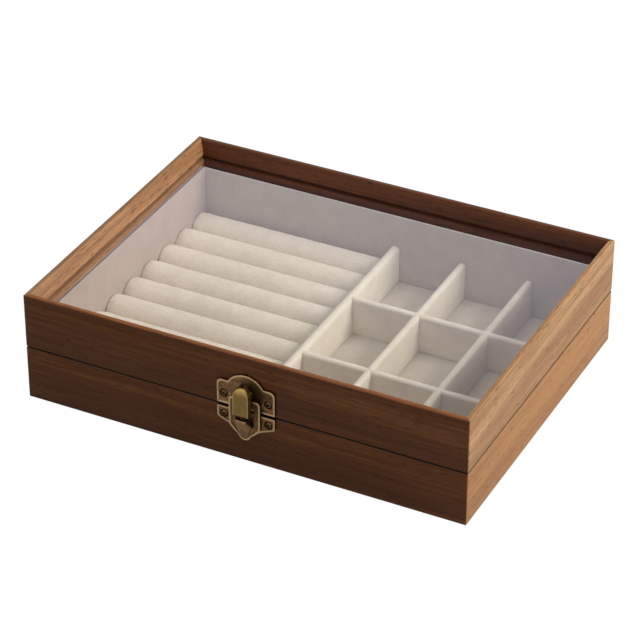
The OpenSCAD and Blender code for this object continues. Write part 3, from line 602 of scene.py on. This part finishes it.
def roll_skin(pitch_y, seed, scale):
    """Skin of one roll before it is blown up: a thick D with its flat on the bed, soft at both ends."""
    left, right, r, end_r = -112.6, -1.9, 8.6, 1.2
    low, high = BED + 0.1, ROLL_TOP - 0.5
    middle = high - r
    around = []
    start = math.degrees(math.asin((low - middle) / r))
    for i in range(29):
        a = math.radians(start + (180 - 2 * start) * i / 28)
        around.append((r * math.cos(a), middle + r * math.sin(a)))
    width = around[0][0] - around[-1][0]
    around += [(around[-1][0] + width * i / 8, low) for i in range(1, 8)]
    rings = []
    # Close stations round the tucked end, then one every 1.85 mm up to the middle
    stations = [0, 0.15, 0.45, 0.85, 1.3, 2.2] + [3.8 + 1.85 * i for i in range(28)]
    places = [left + s for s in stations] + [right - s for s in reversed(stations)]
    for x in places:
        reach = min(x - left, right - x)
        tuck = max(0.0, end_r - reach)
        shrink = end_r - math.sqrt(max(0.0, end_r**2 - tuck**2))
        ring = []
        for y, z in around:
            off = Vector((y, z - middle))
            size = max(off.length, 0.001)
            keep = (size - shrink * 0.9) / size
            wave = 1 + 0.020 * noise.noise(Vector((x / 6, y / 5, seed)))
            ring.append((x * scale, (pitch_y + off.x * keep * wave) * scale,
                max(low, middle + off.y * keep * wave) * scale))
        rings.append(ring)
    return rings


def ring_rolls():
    """Nine foam rolls in velvet. Each skin is a cloth that is blown up a little over its glued foot."""
    # The cloth is solved at 20 times its size, for 20 frames
    scale, frames, count = 20.0, 20, 9
    pitch = 2 * INNER_D / count
    for i in range(count):
        middle = -INNER_D + (i + 0.5) * pitch
        name = f"ring_roll_{i + 1}_padded"
        roll = to_object(name, loft(name, roll_skin(middle, 50 + i, scale)))
        start = [v.co.copy() for v in roll.data.vertices]
        foot = roll.vertex_groups.new(name="glued")
        glued = [v.index for v in roll.data.vertices if v.co.z < (BED + 1.2) * scale * MM]
        foot.add(glued, 1.0, "REPLACE")
        cloth = roll.modifiers.new("cloth", "CLOTH")
        cloth.settings.quality = 4
        cloth.settings.mass = 0.3
        cloth.settings.use_pressure = True
        cloth.settings.uniform_pressure_force = 4.0
        cloth.settings.tension_stiffness = 12
        cloth.settings.compression_stiffness = 12
        cloth.settings.bending_stiffness = 0.4
        cloth.settings.vertex_group_mass = "glued"
        cloth.settings.effector_weights.gravity = 0.0
        cloth.point_cache.frame_start = 1
        cloth.point_cache.frame_end = frames
        for step in range(1, frames + 1):
            scene.frame_set(step)
        plain_mesh(roll)
        scene.frame_set(1)
        limit = 0.55 * scale * MM
        for vertex, before in zip(roll.data.vertices, start):
            move = vertex.co - before
            if move.length > limit:
                vertex.co = before + move.normalized() * limit
        roll.data.transform(Matrix.Scale(1 / scale, 4))
        low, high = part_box(f"ring_roll_{i + 1}")
        for vertex in roll.data.vertices:
            for axis in range(3):
                vertex.co[axis] = min(max(vertex.co[axis], low[axis]), high[axis])
        smooth = roll.modifiers.new("smooth", "SUBSURF")
        smooth.levels = smooth.render_levels = 1
        plain_mesh(roll)
        finish_piece(roll, "base", ROLL_VELVET, [f"ring_roll_{i + 1}"], sharp=180)


def softened(node_name, body, material, width):
    """A copy of a solid's mesh, welded and with its edges eased as a casting's or a pressing's are."""
    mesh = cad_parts[node_name].data.copy()
    shell = bmesh.new()
    shell.from_mesh(mesh)
    bmesh.ops.remove_doubles(shell, verts=shell.verts, dist=0.002 * MM)
    bmesh.ops.dissolve_limit(shell, angle_limit=math.radians(1), verts=shell.verts, edges=shell.edges)
    shell.to_mesh(mesh)
    shell.free()
    made = to_object(f"{node_name}_eased", mesh)
    ease = made.modifiers.new("ease", "BEVEL")
    ease.width = width * MM
    ease.segments = 3
    ease.limit_method = "ANGLE"
    ease.angle_limit = math.radians(34)
    ease.harden_normals = False
    plain_mesh(made)
    finish_piece(made, body, material, [node_name], sharp=30)


def latch_and_hinges():
    softened("latch_upper_plate", "lid", PLATE_BRONZE, 0.16)
    softened("latch_lower_plate", "base", KEEPER_BRONZE, 0.16)
    softened("latch_lever", "latch_lever", LEVER_BRONZE, 0.3)
    for side in ("left", "right"):
        softened(f"{side}_hinge_base_leaf", "base", HINGE_BRONZE, 0.15)
        softened(f"{side}_hinge_lid_leaf", "lid", HINGE_BRONZE, 0.15)


def screw_mesh():
    """A small wood screw with a low domed head, a cross recess and its thread as plain rings."""
    outline = [(0, 0.70), (0.5, 0.69), (0.95, 0.62), (1.35, 0.48), (1.62, 0.28), (1.75, 0.08), (1.72, 0.0),
        (0.85, 0.0), (0.72, -0.6)]
    for i in range(6):
        outline += [(0.85, -0.85 - 0.5 * i), (0.62, -1.1 - 0.5 * i)]
    outline.append((0, -4.2))
    shell = bmesh.new()
    steps = 32
    rings = []
    for r, z in outline:
        if r == 0:
            rings.append([shell.verts.new((0, 0, z * MM))])
        else:
            rings.append([shell.verts.new((r * math.cos(2 * math.pi * k / steps) * MM,
                r * math.sin(2 * math.pi * k / steps) * MM, z * MM)) for k in range(steps)])
    for a, b in zip(rings, rings[1:]):
        for k in range(steps):
            n = (k + 1) % steps
            if len(a) == 1:
                shell.faces.new((a[0], b[k], b[n]))
            elif len(b) == 1:
                shell.faces.new((a[k], b[0], a[n]))
            else:
                shell.faces.new((a[k], b[k], b[n], a[n]))
    bmesh.ops.recalc_face_normals(shell, faces=shell.faces)
    mesh = bpy.data.meshes.new("screw")
    shell.to_mesh(mesh)
    shell.free()
    screw = to_object("screw_pattern", mesh)
    for turn in (0, 90):
        tool = bpy.data.meshes.new("cross")
        wedge = bmesh.new()
        top = [(-1.4, -0.42), (1.4, -0.42), (1.4, 0.42), (-1.4, 0.42)]
        foot = [(-0.9, -0.3), (0.9, -0.3), (0.9, 0.3), (-0.9, 0.3)]
        upper = [wedge.verts.new((x * MM, y * MM, 1.0 * MM)) for x, y in top]
        lower = [wedge.verts.new((x * MM, y * MM, 0.05 * MM)) for x, y in foot]
        wedge.faces.new(upper)
        wedge.faces.new(lower[::-1])
        for k in range(4):
            n = (k + 1) % 4
            wedge.faces.new((upper[k], lower[k], lower[n], upper[n]))
        bmesh.ops.recalc_face_normals(wedge, faces=wedge.faces)
        bmesh.ops.rotate(wedge, verts=wedge.verts, matrix=Matrix.Rotation(math.radians(turn), 3, "Z"))
        wedge.to_mesh(tool)
        wedge.free()
        cut_away(screw, tool)
    return screw


def screw_tree():
    """A screw at every point, its head turned outwards and its cross at an angle of its own."""
    tree, given = new_tree("screws_at_points", [("Screw", "NodeSocketObject"),
        ("Facing", "NodeSocketRotation"), ("Seed", "NodeSocketInt"), ("Metal", "NodeSocketMaterial")])
    pattern = node(tree, "GeometryNodeObjectInfo", {"Object": given["Screw"]}).outputs["Geometry"]
    chance = node(tree, "FunctionNodeRandomValue", {2: 0.0, 3: math.pi / 2, "Seed": given["Seed"]},
        data_type="FLOAT").outputs[1]
    spin = node(tree, "FunctionNodeAxisAngleToRotation", {"Axis": (0, 0, 1), "Angle": chance}).outputs[0]
    facing = node(tree, "FunctionNodeRotateRotation", {0: given["Facing"], 1: spin},
        rotation_space="LOCAL").outputs[0]
    placed = node(tree, "GeometryNodeInstanceOnPoints", {"Points": given["Geometry"], "Instance": pattern,
        "Rotation": facing}).outputs[0]
    real = node(tree, "GeometryNodeRealizeInstances", {"Geometry": placed}).outputs[0]
    done = node(tree, "GeometryNodeSetMaterial", {"Geometry": real, "Material": given["Metal"]}).outputs[0]
    node(tree, "NodeGroupOutput", {0: done})
    return tree


def screws():
    """The screws of both latch plates and of the hinges, one piece for each body and place."""
    pattern = screw_mesh()
    tree = screw_tree()
    latch_x = (LATCH_X - EAR, LATCH_X + EAR)
    hinge_x = [side * 68 + apart for side in (-1, 1) for apart in (-7.5, 7.5)]
    front, back, off_seam = -HALF_D - 0.55, HALF_D + 1, 7
    for name, body, xs, y, z, tilt, seed, metal in (
        ("latch_upper_screws", "lid", latch_x, front, UPPER_SCREW_Z, 90, 4, SCREW_BRONZE),
        ("latch_lower_screws", "base", latch_x, front, LOWER_SCREW_Z, 90, 9, SCREW_BRONZE),
        ("hinge_lid_screws", "lid", hinge_x, back, SEAM + off_seam, -90, 2, HINGE_BRONZE),
        ("hinge_base_screws", "base", hinge_x, back, SEAM - off_seam, -90, 5, HINGE_BRONZE),
    ):
        mesh = bpy.data.meshes.new(name)
        mesh.from_pydata([Vector((x, y, z)) * MM for x in xs], [], [])
        made = grown(f"{name}_turned", mesh, tree, {"Screw": pattern, "Facing": (math.radians(tilt), 0, 0),
            "Seed": seed, "Metal": metal})
        finish_piece(made, body, metal, [name], sharp=28)
    bpy.data.objects.remove(pattern)


def kept_solids():
    """Solids whose own shape is right get their finish."""
    for name, material in (("glass_pane", GLASS), ("base_bottom", BOARD), ("ring_bed", VELVET),
            ("latch_pin", SCREW_BRONZE), ("left_hinge_pin", HINGE_BRONZE), ("right_hinge_pin", HINGE_BRONZE)):
        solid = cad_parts[name]
        if not solid.data.materials:
            solid.data.materials.append(material)
        for slot in solid.material_slots:
            slot.material = material


# Studio

def studio():
    world = bpy.data.worlds.new("studio")
    scene.world = world
    world.use_nodes = True
    tree = world.node_tree
    tree.nodes.clear()
    path = node(tree, "ShaderNodeLightPath").outputs
    sharp = node(tree, "ShaderNodeMath", {0: path["Is Camera Ray"], 1: path["Is Glossy Ray"]},
        operation="MAXIMUM").outputs[0]
    seen = node(tree, "ShaderNodeMath", {0: sharp, 1: path["Is Transmission Ray"]},
        operation="MAXIMUM").outputs[0]
    # A darker part of the ceiling, so that the haze on the glass fades towards the front. Direction
    # in the world, then the cosines between which it goes from full to 0.4 of the white
    view = node(tree, "ShaderNodeTexCoord").outputs["Generated"]
    towards = node(tree, "ShaderNodeVectorMath", {0: view, 1: (-0.3290, 0.4698, 0.8192)},
        operation="DOT_PRODUCT").outputs["Value"]
    ceiling = node(tree, "ShaderNodeMapRange", {"Value": towards, 1: 0.905, 2: 0.934, 3: 1.0, 4: 0.4},
        interpolation_type="SMOOTHSTEP").outputs[0]
    strength = node(tree, "ShaderNodeMix", {"Factor": path["Is Camera Ray"], 2: ceiling, 3: 1.0}).outputs[0]
    soft = node(tree, "ShaderNodeBackground", {"Color": linear("#F6F5F4"), "Strength": 0.19}).outputs[0]
    white = node(tree, "ShaderNodeBackground", {"Color": (1, 1, 1, 1), "Strength": strength}).outputs[0]
    mixed = node(tree, "ShaderNodeMixShader", {0: seen, 1: soft, 2: white}).outputs[0]
    node(tree, "ShaderNodeOutputWorld", {"Surface": mixed})

    middle = Vector((0, 0, SEAM * MM))
    for name, place, size, watts, colour in (
        ("key", (0.80, 0.22, 0.50), 0.5, 10.3, "#FFF7EE"),
        ("top", (-0.10, -0.02, 1.1), 0.8, 4.2, "#FFFAF2"),
    ):
        data = bpy.data.lights.new(name, "AREA")
        data.shape = "SQUARE"
        data.size = size
        data.energy = watts
        data.color = linear(colour)[:3]
        lamp = bpy.data.objects.new(name, data)
        scene.collection.objects.link(lamp)
        lamp.location = place
        lamp.rotation_mode = "QUATERNION"
        lamp.rotation_quaternion = (middle - Vector(place)).to_track_quat("-Z", "Y")

    paper, tree = new_material("studio_paper")
    # The camera sees the paper white with a faint shadow, and the metal mirrors part of that white
    path = node(tree, "ShaderNodeLightPath").outputs
    camera_part = node(tree, "ShaderNodeMath", {0: path["Is Camera Ray"], 1: 0.9},
        operation="MULTIPLY").outputs[0]
    mirrored = node(tree, "ShaderNodeMath", {0: path["Is Glossy Ray"], 1: path["Is Transmission Ray"]},
        operation="MAXIMUM").outputs[0]
    part = node(tree, "ShaderNodeMath", {0: mirrored, 1: 0.35, 2: camera_part},
        operation="MULTIPLY_ADD").outputs[0]
    matt = node(tree, "ShaderNodeBsdfDiffuse", {"Color": linear("#909090")}).outputs[0]
    glow = node(tree, "ShaderNodeEmission", {"Color": (1, 1, 1, 1), "Strength": 1.1}).outputs[0]
    mixed = node(tree, "ShaderNodeMixShader", {0: part, 1: matt, 2: glow}).outputs[0]
    node(tree, "ShaderNodeOutputMaterial", {"Surface": mixed})
    mesh = bpy.data.meshes.new("floor")
    side, below = 3, 0.0002
    corners = [(-side, -side), (side, -side), (side, side), (-side, side)]
    mesh.from_pydata([(x, y, -below) for x, y in corners], [], [(0, 1, 2, 3)])
    ground = to_object("studio_floor", mesh)
    ground.data.materials.append(paper)


def camera():
    data = bpy.data.cameras.new("camera")
    data.sensor_fit = "HORIZONTAL"
    data.sensor_width = 36.0
    data.lens = data.sensor_width * FOCAL_LENGTH_IN_FRAMES
    data.clip_start, data.clip_end = 0.05, 20.0
    made = bpy.data.objects.new("camera", data)
    scene.collection.objects.link(made)
    az, el = math.radians(CAMERA_AZIMUTH), math.radians(CAMERA_ELEVATION)
    back = Vector((math.sin(az) * math.cos(el), -math.cos(az) * math.cos(el), math.sin(el)))
    right = Vector((0, 0, 1)).cross(back).normalized()
    level = Matrix((right, back.cross(right), back)).transposed()
    turned = Matrix.Rotation(math.radians(CAMERA_ROLL), 3, back) @ level
    made.matrix_world = Matrix.Translation(CAMERA_PLACE) @ turned.to_4x4()
    scene.camera = made
    scene.view_settings.view_transform = "Standard"


camera()
studio()
frame_boards()
linings()
floor_board()
dividers()
ring_rolls()
latch_and_hinges()
screws()
kept_solids()
